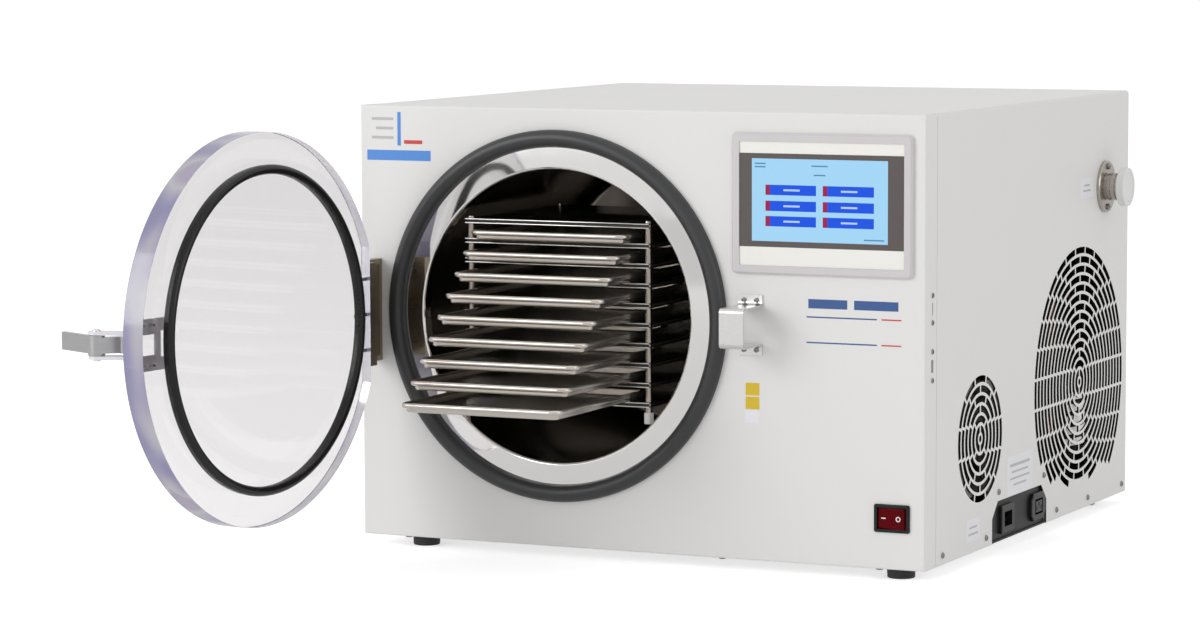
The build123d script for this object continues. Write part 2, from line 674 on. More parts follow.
overlay_base = hmi.offset(HMI_PROUD - OVERLAY_SINK - OVERLAY_THICKNESS)
with BuildPart() as hmi_overlay:
    with BuildSketch(overlay_base):
        RectangleRounded(OVERLAY_WIDTH - 0.2, OVERLAY_HEIGHT - 0.2, 1.9)
        with Locations(SCREEN_SHIFT):
            Rectangle(SCREEN_WIDTH, SCREEN_HEIGHT, mode=Mode.SUBTRACT)
    extrude(amount=OVERLAY_THICKNESS)
finish(hmi_overlay.part, "hmi_overlay")

with BuildPart() as hmi_screen:
    with BuildSketch(overlay_base):
        with Locations(SCREEN_SHIFT):
            Rectangle(SCREEN_WIDTH - 0.2, SCREEN_HEIGHT - 0.2)
    extrude(amount=SCREEN_GLASS)
finish(hmi_screen.part, "hmi_screen")

# ---------------------------------------------------------------- power switch
SWITCH_FRAME = 3.4
SWITCH_PROUD = 2.4
SWITCH_DEPTH = 22.0
ROCKER_PIVOT = 3.0
ROCKER_CLEAR = 0.7
rocker_width = SWITCH_WIDTH - 2 * SWITCH_FRAME
rocker_height = SWITCH_HEIGHT - 2 * SWITCH_FRAME
switch_place = at(front, *SWITCH_MIDDLE)
ROCKER_PIN = 1.2
ROCKER_PIN_SINK = 1.1
tilt = radians(ROCKER_TILT)
rocker_pivot = at(switch_place, 0, 0, -ROCKER_PIVOT + SWITCH_PROUD)
rocker_frame = Plane(origin=rocker_pivot.origin, x_dir=(cos(tilt), sin(-tilt), 0), z_dir=(0, 0, 1))

with BuildPart() as switch_housing:
    with BuildSketch(switch_place):
        RectangleRounded(SWITCH_WIDTH, SWITCH_HEIGHT, 2.0)
    extrude(amount=SWITCH_PROUD)
    fillet(switch_housing.faces().sort_by(outward(switch_place))[-1].edges(), 1.0)
    with BuildSketch(switch_place):
        Rectangle(*SWITCH_BODY)
    extrude(amount=-SWITCH_DEPTH)
    with BuildSketch(switch_place.offset(SWITCH_PROUD)):
        Rectangle(rocker_width, rocker_height)
    extrude(amount=-(SWITCH_PROUD + 9.0), mode=Mode.SUBTRACT)
    with BuildSketch(rocker_frame):
        Circle(ROCKER_PIN + PIN_CLEARANCE)
    extrude(amount=rocker_height / 2 + ROCKER_PIN_SINK + RUNNING_GAP, both=True, mode=Mode.SUBTRACT)
finish(switch_housing.part, "switch_housing")

# The rocker's two faces meet at a shallow ridge above its pivot; it rests pressed on its left half
rocker_half = rocker_width / 2 - ROCKER_CLEAR
ROCKER_RIDGE = 4.6
ROCKER_END = 3.4
with BuildPart() as switch_rocker:
    with BuildSketch(rocker_frame):
        with BuildLine():
            Polyline(
                (-rocker_half + 0.4, 3.0),
                (-rocker_half, -ROCKER_END),
                (0, -ROCKER_RIDGE + 1.2),
                (rocker_half, -ROCKER_END),
                (rocker_half - 0.4, 3.0),
                close=True,
            )
        make_face()
    extrude(amount=rocker_height / 2 - ROCKER_CLEAR / 2, both=True)
    with BuildSketch(rocker_frame):
        Circle(ROCKER_PIN)
    extrude(amount=rocker_height / 2 + ROCKER_PIN_SINK, both=True)
finish(switch_rocker.part, "switch_rocker")

# ---------------------------------------------------------------- card slot and USB socket
SOCKET_DEPTH = 16.0
SOCKET_WALL = 1.4
inner_right = right.offset(-SHEET)

with BuildPart() as card_reader:
    height, tall, wide = CARD_SLOT
    with BuildSketch(at(inner_right, SLOT_DEPTH_AT, height)):
        Rectangle(wide + 2 * SOCKET_WALL, tall + 2 * SOCKET_WALL)
    extrude(amount=-SOCKET_DEPTH)
    with BuildSketch(at(inner_right, SLOT_DEPTH_AT, height)):
        Rectangle(wide, tall)
    extrude(amount=-(SOCKET_DEPTH - 2), mode=Mode.SUBTRACT)
finish(card_reader.part, "card_reader")

with BuildPart() as usb_socket:
    height, tall, wide = USB_SLOT
    with BuildSketch(at(inner_right, SLOT_DEPTH_AT, height)):
        Rectangle(wide + 2 * SOCKET_WALL, tall + 2 * SOCKET_WALL)
    extrude(amount=-SOCKET_DEPTH)
    with BuildSketch(at(inner_right, SLOT_DEPTH_AT, height)):
        Rectangle(wide, tall)
    extrude(amount=-(SOCKET_DEPTH - 2), mode=Mode.SUBTRACT)
    with BuildSketch(at(inner_right, SLOT_DEPTH_AT + 0.9, height, -SOCKET_DEPTH + 2)):
        Rectangle(1.8, tall - 2.0)
    extrude(amount=SOCKET_DEPTH - 4)
finish(usb_socket.part, "usb_socket")

# ---------------------------------------------------------------- mains recess
PLATE_LIP = 1.0
INLET_SIZE = (40.0, 30.0)
OUTLET_SIZE = (46.0, 30.0)
inlet_back = right.offset(-RECESS_DEPTH)
INLET_HEIGHT_AT = RECESS_HEIGHT / 2
SOCKET_BODY = 18.0

with BuildPart() as inlet_plate:
    with BuildSketch(inlet_back):
        with BuildLine():
            Polyline(
                (RECESS_LEFT, 0),
                *recess_outline[1:5],
                (RECESS_RIGHT, 0),
                close=True,
            )
        make_face()
        offset(amount=-LAP, kind=Kind.INTERSECTION)
        for depth in (INLET_AT, OUTLET_AT):
            with Locations((depth, INLET_HEIGHT_AT)):
                Rectangle(28.0, 20.0, mode=Mode.SUBTRACT)
    extrude(amount=-SHEET)
    with BuildSketch(inlet_back):
        with Locations(((RECESS_LEFT + RECESS_RIGHT) / 2, LAP)):
            Rectangle(RECESS_RIGHT - RECESS_LEFT - 2 * LAP, SHEET, align=(Align.CENTER, Align.MIN))
    extrude(amount=RECESS_DEPTH - PLATE_LIP)
finish(inlet_plate.part, "inlet_plate")

with BuildPart() as mains_inlet:
    with BuildSketch(at(inlet_back, INLET_AT, INLET_HEIGHT_AT)):
        RectangleRounded(*INLET_SIZE, 2.0)
    extrude(amount=4.0)
    chamfer(mains_inlet.faces().sort_by(outward(right))[-1].edges(), 1.0)
    with BuildSketch(at(inlet_back, INLET_AT, INLET_HEIGHT_AT)):
        Rectangle(27.4, 19.4)
    extrude(amount=-SOCKET_BODY)
    with BuildSketch(at(inlet_back, INLET_AT, INLET_HEIGHT_AT, 4.0)):
        Rectangle(24.0, 16.0)
    extrude(amount=-17.0, mode=Mode.SUBTRACT)
    with BuildSketch(at(inlet_back, INLET_AT, INLET_HEIGHT_AT, -13.0)):
        with Locations((-7, -2), (7, -2), (0, 3)):
            Rectangle(2.0, 4.0)
    extrude(amount=12.0)
finish(mains_inlet.part, "mains_inlet")

with BuildPart() as pump_outlet:
    with BuildSketch(at(inlet_back, OUTLET_AT, INLET_HEIGHT_AT)):
        Rectangle(*OUTLET_SIZE)
    extrude(amount=4.0)
    chamfer(pump_outlet.edges().filter_by(Axis.X), 7.0)
    chamfer(pump_outlet.faces().sort_by(outward(right))[-1].edges(), 1.0)
    with BuildSketch(at(inlet_back, OUTLET_AT, INLET_HEIGHT_AT)):
        Rectangle(27.4, 19.4)
    extrude(amount=-SOCKET_BODY)
    with BuildSketch(at(inlet_back, OUTLET_AT, INLET_HEIGHT_AT, 4.0)):
        Rectangle(25.0, 17.0)
        Rectangle(20.0, 12.4, mode=Mode.SUBTRACT)
    extrude(amount=-14.0, mode=Mode.SUBTRACT)
    with BuildSketch(at(inlet_back, OUTLET_AT, INLET_HEIGHT_AT, 4.0)):
        with Locations((-7, -1.6), (7, -1.6), (0, 2.4)):
            Rectangle(2.4, 4.4)
    extrude(amount=-12.0, mode=Mode.SUBTRACT)
finish(pump_outlet.part, "pump_outlet")

# ---------------------------------------------------------------- vacuum port
PORT_SCREW_AT = 23.0
BEAD_RADIUS = 15.5
BEADS = 3
port = at(right, *PORT_AT)
port_axis = outward(port)

with BuildPart() as vacuum_port:
    with BuildSketch(port):
        Circle(PORT_PLATE_RADIUS)
    extrude(amount=PORT_PLATE)
    chamfer(vacuum_port.faces().sort_by(port_axis)[-1].edges(), 1.0)
    with BuildSketch(port.offset(-18.0)):
        Circle(STUB_RADIUS)
    extrude(amount=PORT_REACH + 18.0 - KF_THICKNESS)
    for bead in range(BEADS):
        with BuildSketch(port.offset(PORT_PLATE + 2.5 + bead * 5.6)):
            Circle(BEAD_RADIUS)
        extrude(amount=3.4)
    with BuildSketch(port.offset(PORT_REACH - KF_THICKNESS)):
        Circle(KF_RADIUS)
    extrude(amount=KF_THICKNESS)
    with BuildSketch(port.offset(-18.0)):
        Circle(PORT_BORE)
    extrude(amount=PORT_REACH + 18.0, mode=Mode.SUBTRACT)
    with BuildSketch(port):
        with Locations((0, PORT_SCREW_AT), (0, -PORT_SCREW_AT)):
            Circle(SCREW_HOLE)
    extrude(amount=PORT_PLATE, mode=Mode.SUBTRACT)
finish(vacuum_port.part, "vacuum_port")

with BuildPart() as port_screws:
    for side in (-1, 1):
        add(pan_screw(at(port, 0, side * PORT_SCREW_AT, PORT_PLATE), head=3.6, rise=2.4, length=PORT_PLATE))
finish(port_screws.part, "port_screws")

CAP_DEPTH = 7.0
with BuildPart() as port_cap:
    with BuildSketch(port.offset(PORT_REACH + CAP_GAP - CAP_DEPTH)):
        Circle(KF_RADIUS + CAP_GAP + CAP_WALL)
    extrude(amount=CAP_DEPTH + CAP_WALL)
    fillet(port_cap.faces().sort_by(port_axis)[-1].edges(), 1.2)
    with BuildSketch(port.offset(PORT_REACH + CAP_GAP - CAP_DEPTH)):
        Circle(KF_RADIUS + CAP_GAP)
    extrude(amount=CAP_DEPTH, mode=Mode.SUBTRACT)
    with BuildSketch(port.offset(PORT_REACH + CAP_GAP)):
        Circle(PORT_BORE - 1.0)
        Circle(PORT_BORE - 2.6, mode=Mode.SUBTRACT)
    extrude(amount=-6.0)
finish(port_cap.part, "port_cap")

# ---------------------------------------------------------------- keeper on the front panel
KEEPER_FOLD = 4.0
KEEPER_SCREWS = (6.5, 20.5)
keeper_profile = Plane(
    origin=(KEEPER_LEFT, FRONT, CHAMBER_HEIGHT), x_dir=(0, -1, 0), z_dir=(1, 0, 0)
)
web = KEEPER_WEB / 2 - STRAP / 2
tab_end = web + KEEPER_TAB
with BuildPart() as keeper:
    with BuildSketch(keeper_profile):
        with BuildLine():
            FilletPolyline(
                (STRAP / 2, -tab_end),
                (STRAP / 2, -web),
                (KEEPER_STANDOFF - STRAP / 2, -web),
                (KEEPER_STANDOFF - STRAP / 2, web),
                (STRAP / 2, web),
                (STRAP / 2, tab_end),
                radius=KEEPER_FOLD,
            )
        trace(line_width=STRAP)
    extrude(amount=KEEPER_LENGTH)
    with BuildSketch(front):
        for x in KEEPER_SCREWS:
            for side in (-1, 1):
                with Locations((KEEPER_LEFT + x, CHAMBER_Z + side * (tab_end - 5.5))):
                    Circle(SCREW_HOLE)
    extrude(amount=2 * STRAP, mode=Mode.SUBTRACT)
finish(keeper.part, "keeper")

with BuildPart() as keeper_screws:
    for x in KEEPER_SCREWS:
        for side in (-1, 1):
            spot = at(front, KEEPER_LEFT + x, CHAMBER_Z + side * (tab_end - 5.5), STRAP)
            add(pan_screw(spot, head=2.5, rise=2.4, length=STRAP))
finish(keeper_screws.part, "keeper_screws")

# ---------------------------------------------------------------- door hinge
LEAF_FACE = HINGE_X + 3.5
LEAF_REACH = HINGE_STANDOFF - 3.0
LEAF_SCREWS = (-34.0, 0.0, 34.0)
leaf_wall = Plane(origin=(LEAF_FACE, FRONT, CHAMBER_HEIGHT), x_dir=(0, -1, 0), z_dir=(1, 0, 0))
knuckle_third = HINGE_HEIGHT / 3

with BuildPart() as hinge_frame_leaf:
    # leaf_wall's own x runs out from the front panel, its y is up
    with BuildSketch(Plane(origin=leaf_wall.origin, x_dir=(0, -1, 0), z_dir=(-1, 0, 0))):
        Rectangle(LEAF_REACH, HINGE_HEIGHT, align=(Align.MIN, Align.CENTER))
    extrude(amount=LEAF_THICKNESS)
    with BuildSketch(Plane(origin=leaf_wall.origin, x_dir=(0, -1, 0), z_dir=(-1, 0, 0))):
        with Locations((LEAF_RIM, 0)):
            Rectangle(
                LEAF_REACH - LEAF_RIM - 2.0, HINGE_HEIGHT - 2 * LEAF_RIM, align=(Align.MIN, Align.CENTER)
            )
    extrude(amount=LEAF_POCKET, mode=Mode.SUBTRACT)
    with BuildSketch(Plane.XY.offset(CHAMBER_HEIGHT - HINGE_HEIGHT / 2)):
        with Locations((HINGE_X, HINGE_Y)):
            Circle(KNUCKLE_RADIUS)
    extrude(amount=HINGE_HEIGHT)
    with BuildSketch(Plane.XY.offset(CHAMBER_HEIGHT - knuckle_third / 2)):
        with Locations((HINGE_X, HINGE_Y)):
            Circle(KNUCKLE_RADIUS + KNUCKLE_GAP)
    extrude(amount=knuckle_third, mode=Mode.SUBTRACT)
    with BuildSketch(Plane.XY.offset(CHAMBER_HEIGHT - HINGE_HEIGHT / 2)):
        with Locations((HINGE_X, HINGE_Y)):
            Circle(HINGE_PIN_RADIUS)
    extrude(amount=HINGE_HEIGHT, mode=Mode.SUBTRACT)
    with BuildSketch(Plane(origin=leaf_wall.origin, x_dir=(0, -1, 0), z_dir=(-1, 0, 0))):
        for height in LEAF_SCREWS:
            with Locations((LEAF_REACH / 2 + 1.0, height)):
                Circle(3.5)
    extrude(amount=LEAF_THICKNESS, mode=Mode.SUBTRACT)
finish(hinge_frame_leaf.part, "hinge_frame_leaf")

leaf_floor = leaf_wall.offset(-LEAF_POCKET)
with BuildPart() as hinge_frame_screws:
    for height in LEAF_SCREWS:
        spot = at(leaf_floor, LEAF_REACH / 2 + 1.0, height)
        add(flat_screw(spot, head=3.4, sink=3.0, shank=3.4, length=LEAF_THICKNESS - LEAF_POCKET))
finish(hinge_frame_screws.part, "hinge_frame_screws")

DOOR_LEAF_DEPTH = DOOR_THICKNESS - 1.0
DOOR_LEAF_THICKNESS = 12.0
door_leaf_plane = door.offset(DOOR_INNER + 0.5)
DOOR_SCREWS = (-38.0, 0.0, 38.0)
DOOR_SCREW_HOLE = 2.0


def door_screw_place(height):
    """The spot of one door screw: on the leaf's outer face, facing the hinge."""
    middle = Vector(CHORD_AT - DOOR_LEAF_THICKNESS, height, (DOOR_INNER + DOOR_OUTER) / 2)
    return Plane(origin=door.from_local_coords(middle), x_dir=door.z_dir, z_dir=-door.x_dir)


with BuildPart() as hinge_door_leaf:
    with BuildSketch(door_leaf_plane):
        with Locations((CHORD_AT, 0)):
            Rectangle(DOOR_LEAF_THICKNESS, HINGE_HEIGHT, align=(Align.MAX, Align.CENTER))
    extrude(amount=DOOR_LEAF_DEPTH)
    with BuildSketch(door.offset(-3.5)):
        with Locations((CHORD_AT - DOOR_LEAF_THICKNESS, 0)):
            Rectangle(
                CHORD_AT - DOOR_LEAF_THICKNESS,
                knuckle_third - 2 * KNUCKLE_GAP,
                align=(Align.MAX, Align.CENTER),
            )
    extrude(amount=7.0)
    with BuildSketch(door.offset(-3.5)):
        with Locations((CHORD_AT - DOOR_LEAF_THICKNESS, 0)):
            Rectangle(2.0, knuckle_third - 2 * KNUCKLE_GAP, align=(Align.MIN, Align.CENTER))
    extrude(amount=7.0)
    with BuildSketch(Plane.XY.offset(CHAMBER_HEIGHT - knuckle_third / 2 + KNUCKLE_GAP)):
        with Locations((HINGE_X, HINGE_Y)):
            Circle(KNUCKLE_RADIUS)
    extrude(amount=knuckle_third - 2 * KNUCKLE_GAP)
    with BuildSketch(Plane.XY.offset(CHAMBER_HEIGHT - knuckle_third / 2)):
        with Locations((HINGE_X, HINGE_Y)):
            Circle(HINGE_PIN_RADIUS + PIN_CLEARANCE)
    extrude(amount=knuckle_third, mode=Mode.SUBTRACT)
    for height in DOOR_SCREWS:
        add(flat_hole(door_screw_place(height), DOOR_SCREW_HOLE, DOOR_LEAF_THICKNESS), mode=Mode.SUBTRACT)
finish(hinge_door_leaf.part, "hinge_door_leaf")

with BuildPart() as hinge_pin:
    with BuildSketch(Plane.XY.offset(CHAMBER_HEIGHT - HINGE_HEIGHT / 2 - 1.5)):
        with Locations((HINGE_X, HINGE_Y)):
            Circle(HINGE_PIN_RADIUS)
    extrude(amount=HINGE_HEIGHT + 3.0)
    fillet(hinge_pin.edges().filter_by(GeomType.CIRCLE), 0.8)
finish(hinge_pin.part, "hinge_pin")

# ---------------------------------------------------------------- door disc and its seal
DOOR_SCREW_LENGTH = 22.0
LATCH_SCREW_LENGTH = 10.0
LATCH_PIN_HALF = 16.0
BRACKET_END = 409.0
BRACKET_LENGTH = 30.0
BRACKET_HEIGHT = 52.0
BRACKET_WEB = 8.0
BRACKET_PLATE = 3.0
SEAL_HEIGHT = DOOR_STANDOFF - FLANGE_PROUD - 0.4
latch_screw_spots = [(BRACKET_END - x, side * 20.0) for x in (7.0, 22.0) for side in (-1, 1)]
door_middle = HINGE_OFFSET
door_edge_plane = Plane(
    origin=door.from_local_coords(Vector(CHORD_AT, 0, (DOOR_INNER + DOOR_OUTER) / 2)),
    x_dir=door.z_dir,
    z_dir=door.x_dir,
)

with BuildPart() as door_disc:
    with BuildSketch(door.offset(DOOR_INNER)):
        with Locations((door_middle, 0)):
            Circle(DOOR_RADIUS)
        with Locations((CHORD_AT, 0)):
            Rectangle(2 * DOOR_RADIUS, 2 * DOOR_RADIUS, align=(Align.MAX, Align.CENTER), mode=Mode.SUBTRACT)
    extrude(amount=DOOR_THICKNESS)
    chamfer(door_disc.edges().filter_by(GeomType.CIRCLE), 1.0)
    with BuildSketch(door_edge_plane):
        with Locations(*((0, height) for height in DOOR_SCREWS)):
            Circle(DOOR_SCREW_HOLE)
    extrude(amount=DOOR_SCREW_LENGTH + 1.0, mode=Mode.SUBTRACT)
    with BuildSketch(door.offset(DOOR_INNER)):
        with Locations((door_middle, 0)):
            Circle(SEAL_RADIUS + SEAL_TUBE - 1.0)
            Circle(SEAL_RADIUS - SEAL_TUBE + 1.0, mode=Mode.SUBTRACT)
    extrude(amount=SEAL_GROOVE, mode=Mode.SUBTRACT)
    with BuildSketch(door.offset(DOOR_OUTER)):
        with Locations(*latch_screw_spots):
            Circle(SCREW_HOLE)
    extrude(amount=-LATCH_SCREW_LENGTH - 1.0, mode=Mode.SUBTRACT)
finish(door_disc.part, "door_disc")

with BuildPart() as hinge_door_screws:
    for height in DOOR_SCREWS:
        spot = door_screw_place(height)
        add(flat_screw(spot, shank=DOOR_SCREW_HOLE - 0.1, length=DOOR_LEAF_THICKNESS + DOOR_SCREW_LENGTH))
finish(hinge_door_screws.part, "hinge_door_screws")

with BuildPart() as door_seal:
    with BuildSketch(door.offset(DOOR_INNER + SEAL_GROOVE)):
        with Locations((door_middle, 0)):
            Circle(SEAL_RADIUS + SEAL_TUBE - 1.1)
            Circle(SEAL_RADIUS - SEAL_TUBE + 1.1, mode=Mode.SUBTRACT)
    extrude(amount=-SEAL_GROOVE)
    with BuildSketch(door.offset(DOOR_INNER)):
        with Locations((door_middle, 0)):
            Circle(SEAL_RADIUS + SEAL_TUBE)
            Circle(SEAL_RADIUS - SEAL_TUBE, mode=Mode.SUBTRACT)
    extrude(amount=-SEAL_HEIGHT)
    seal_front = door_seal.faces().sort_by(outward(door))[0]
    fillet(seal_front.edges(), SEAL_TUBE - 0.6)
finish(door_seal.part, "door_seal")

# ---------------------------------------------------------------- door latch
# door_level's own x runs from the hinge to the free edge and its y from the outside to the inside
EAR_TOP = LATCH_PIN_HALF - 1.5
pivot_spot = (LATCH_PIVOT_X - HINGE_X, -(LATCH_PIVOT_STANDOFF - HINGE_STANDOFF))
door_level = Plane(origin=door.origin, x_dir=door.x_dir, z_dir=(0, 0, 1))
EAR_RADIUS = 8.0
EAR_ROOT = 16.0
hub_half = LEVER_HEIGHT / 2 + 1.0
ear_inside = hub_half + RUNNING_GAP

with BuildPart() as latch_bracket:
    with BuildSketch(door.offset(DOOR_OUTER)):
        with Locations((BRACKET_END, 0)):
            Rectangle(BRACKET_LENGTH, BRACKET_HEIGHT, align=(Align.MAX, Align.CENTER))
        with Locations((BRACKET_END - BRACKET_WEB, 0)):
            Rectangle(BRACKET_LENGTH, 2 * ear_inside, align=(Align.MAX, Align.CENTER), mode=Mode.SUBTRACT)
    extrude(amount=BRACKET_PLATE)
    fillet(latch_bracket.edges().filter_by(Axis(door.origin, door.z_dir)).group_by(Axis.Z)[0], 3.0)
    fillet(latch_bracket.edges().filter_by(Axis(door.origin, door.z_dir)).group_by(Axis.Z)[-1], 3.0)
    for side in (-1, 1):
        with BuildSketch(door_level.offset(side * ear_inside)):
            with Locations(pivot_spot):
                Circle(EAR_RADIUS)
            with Locations((BRACKET_END, -DOOR_OUTER)):
                Rectangle(EAR_ROOT, BRACKET_PLATE, align=(Align.MAX, Align.MAX))
            make_hull()
        extrude(amount=side * EAR_THICKNESS)
    with BuildSketch(door_level.offset(-BRACKET_HEIGHT / 2)):
        with Locations(pivot_spot):
            Circle(LATCH_PIN_RADIUS)
    extrude(amount=BRACKET_HEIGHT, mode=Mode.SUBTRACT)
    with BuildSketch(door.offset(DOOR_OUTER)):
        with Locations(*latch_screw_spots):
            Circle(SCREW_HOLE)
    extrude(amount=BRACKET_PLATE, mode=Mode.SUBTRACT)
finish(latch_bracket.part, "latch_bracket")

with BuildPart() as latch_screws:
    for spot in latch_screw_spots:
        place = at(door, *spot, DOOR_OUTER + BRACKET_PLATE)
        add(pan_screw(place, head=3.0, rise=2.2, length=BRACKET_PLATE + LATCH_SCREW_LENGTH))
finish(latch_screws.part, "latch_screws")

with BuildPart() as latch_pin:
    with BuildSketch(door_level.offset(-LATCH_PIN_HALF)):
        with Locations(pivot_spot):
            Circle(LATCH_PIN_RADIUS)
    extrude(amount=2 * LATCH_PIN_HALF)
    for side in (-1, 1):
        with BuildSketch(door_level.offset(side * (ear_inside + EAR_THICKNESS))):
            with Locations(pivot_spot):
                Circle(LATCH_PIN_RADIUS + 1.4)
        extrude(amount=side * 1.2)
finish(latch_pin.part, "latch_pin")

lever_way = (cos(radians(-LEVER_ANGLE)), sin(radians(-LEVER_ANGLE)))
NOSE_HALF = 8.0
lever_end = (pivot_spot[0] + LEVER_LENGTH * lever_way[0], pivot_spot[1] + LEVER_LENGTH * lever_way[1])
# The nose is drawn as it stands when locked: down past the keeper's edge, then hooked under its web
nose_level = at(door_level, *pivot_spot).rotated((0, 0, LOCK_ANGLE))
nose_side = KEEPER_LEFT - LATCH_PIVOT_X - NOSE_GAP
nose_top = LATCH_PIVOT_STANDOFF - KEEPER_STANDOFF + STRAP + NOSE_GAP / 2

with BuildPart() as latch_lever:
    with BuildSketch(door_level.offset(-hub_half)):
        with Locations(pivot_spot):
            Circle(HUB_RADIUS)
    extrude(amount=2 * hub_half)
    with BuildSketch(door_level.offset(-LEVER_HEIGHT / 2)):
        with BuildLine():
            Line(pivot_spot, lever_end)
        trace(line_width=LEVER_THICKNESS)
    extrude(amount=LEVER_HEIGHT)
    with BuildSketch(nose_level.offset(-NOSE_HALF)):
        with Locations((nose_side, 0)):
            Rectangle(NOSE_WIDTH, nose_top + 2 * NOSE_RADIUS, align=(Align.MAX, Align.MIN))
        with Locations((nose_side, nose_top)):
            Rectangle(NOSE_HOOK, 2 * NOSE_RADIUS, align=(Align.MIN, Align.MIN))
        with Locations((nose_side + NOSE_HOOK, nose_top + NOSE_RADIUS)):
            Circle(NOSE_RADIUS)
    extrude(amount=2 * NOSE_HALF)
    with BuildSketch(door_level.offset(-hub_half)):
        with Locations(pivot_spot):
            Circle(LATCH_PIN_RADIUS + PIN_CLEARANCE)
    extrude(amount=2 * hub_half, mode=Mode.SUBTRACT)
finish(latch_lever.part, "latch_lever")

# ---------------------------------------------------------------- fans
FAN_PIN = 3.0


def fan_frame(place, size, thickness, opening, hub):
    """A square fan frame behind the plane, with a hub carried on four struts at its inner side."""
    with BuildPart() as frame:
        with BuildSketch(place):
            RectangleRounded(size, size, 4.0)
            Circle(opening, mode=Mode.SUBTRACT)
        extrude(amount=-thickness)
        with BuildSketch(place.offset(-thickness)):
            Circle(hub)
            with PolarLocations(0, 4, start_angle=45):
                Rectangle(opening + 2.0, 5.0, align=(Align.MIN, Align.CENTER))
        extrude(amount=3.0)
        with BuildSketch(place.offset(-thickness)):
            Circle(FAN_PIN)
        extrude(amount=thickness - 4.0)
    return frame.part


def fan_rotor(place, thickness, hub, tip, blades, chord):
    """A moulded rotor: a cup-shaped hub with pitched blades, running on the frame's pin."""
    with BuildPart() as rotor:
        with BuildSketch(place.offset(-thickness + 3.0 + RUNNING_GAP)):
            Circle(hub)
        extrude(amount=thickness - 6.0)
        for blade in range(blades):
            angle = radians(360.0 / blades * blade)
            way = place.x_dir * cos(angle) + place.y_dir * sin(angle)
            root = place.offset(-thickness / 2).origin + way * (hub - 2.0)
            with BuildSketch(Plane(origin=root, x_dir=place.z_dir, z_dir=way)):
                with Locations(Location((0, 0), 50.0)):
                    Rectangle(chord, 1.8)
            extrude(amount=tip - hub + 2.0)
        with BuildSketch(place.offset(-thickness)):
            Circle(FAN_PIN + PIN_CLEARANCE)
        extrude(amount=thickness - 4.0 + RUNNING_GAP, mode=Mode.SUBTRACT)
    return rotor.part


side_fan_place = at(right, *SMALL_GRILLE, -SHEET - LAP)
FAN_OPENING = 57.0
FAN_HUB = 21.0
finish(
    fan_frame(side_fan_place, FAN_SIZE, FAN_THICKNESS, FAN_OPENING, FAN_HUB - 1.0),
    "side_fan_frame",
)
finish(fan_rotor(side_fan_place, FAN_THICKNESS, FAN_HUB, FAN_OPENING - 2.5, 7, 22.0), "side_fan_rotor")

condenser_fan_place = at(rear, -REAR_GRILLE[0], REAR_GRILLE[1], -REAR_INSET - SHEET - LAP)
BIG_THICKNESS = 38.0
BIG_OPENING = CONDENSER_WIDTH / 2 - 4.0
BIG_HUB = 40.0
finish(
    fan_frame(condenser_fan_place, CONDENSER_FAN, BIG_THICKNESS, BIG_OPENING, BIG_HUB - 2.0),
    "condenser_fan_frame",
)
finish(
    fan_rotor(condenser_fan_place, BIG_THICKNESS, BIG_HUB, BIG_OPENING - 4.0, 7, 40.0),
    "condenser_fan_rotor",
)

# ---------------------------------------------------------------- refrigeration
CONDENSER_THICKNESS = 40.0
CONDENSER_HEIGHT = 274.0
CONDENSER_FRONT = DEPTH - REAR_INSET - SHEET - LAP - BIG_THICKNESS - LAP - CONDENSER_THICKNESS
FIN_PITCH = 10.0
FIN_GROOVE = 14.0
FLOOR = FOOT_HEIGHT + SHEET + LAP

with BuildPart() as condenser:
    with Locations((REAR_GRILLE[0], FRONT + CONDENSER_FRONT + CONDENSER_THICKNESS / 2, FLOOR)):
        Box(
            CONDENSER_WIDTH,
            CONDENSER_THICKNESS,
            CONDENSER_HEIGHT,
            align=(Align.CENTER, Align.CENTER, Align.MIN),
        )
    with BuildSketch(Plane.XY.offset(FLOOR)):
        for face in (CONDENSER_FRONT, CONDENSER_FRONT + CONDENSER_THICKNESS):
            with Locations((REAR_GRILLE[0], FRONT + face)):
                with GridLocations(FIN_PITCH, 1, int(CONDENSER_WIDTH / FIN_PITCH) - 1, 1):
                    Rectangle(FIN_PITCH - 3.0, 2 * FIN_GROOVE)
    extrude(amount=CONDENSER_HEIGHT, mode=Mode.SUBTRACT)
finish(condenser.part, "condenser")

COMPRESSOR_SPOT = (205.0, 480.0)
COMPRESSOR_BASE = 150.0
COMPRESSOR_SHOULDER = 55.0
compressor_axis = Plane(
    origin=(COMPRESSOR_SPOT[0], FRONT + COMPRESSOR_SPOT[1], FLOOR), x_dir=(1, 0, 0), z_dir=(0, -1, 0)
)
with BuildPart() as compressor:
    with BuildSketch(compressor_axis):
        with BuildLine():
            Polyline(
                (0, 0),
                (COMPRESSOR_RADIUS - 12.0, 0),
                (COMPRESSOR_RADIUS, 18.0),
                (COMPRESSOR_RADIUS, COMPRESSOR_HEIGHT - COMPRESSOR_SHOULDER),
                (COMPRESSOR_RADIUS - 16.0, COMPRESSOR_HEIGHT - 18.0),
                (0, COMPRESSOR_HEIGHT),
                close=True,
            )
        make_face()
        fillet(vertices().group_by(Axis.X)[-1], 10.0)
    revolve(axis=Axis(compressor_axis.origin, (0, 0, 1)))
    with BuildSketch(Plane.XY.offset(FLOOR)):
        with Locations((COMPRESSOR_SPOT[0], FRONT + COMPRESSOR_SPOT[1])):
            RectangleRounded(COMPRESSOR_BASE, COMPRESSOR_BASE, 15.0)
    extrude(amount=6.0)
finish(compressor.part, "compressor")

# Routes: x, then the depth behind the front face, then the height above the underside
def route(*points):
    """Turn route points into the object's frame."""
    return [(x, FRONT + depth, FOOT_HEIGHT + height) for x, depth, height in points]


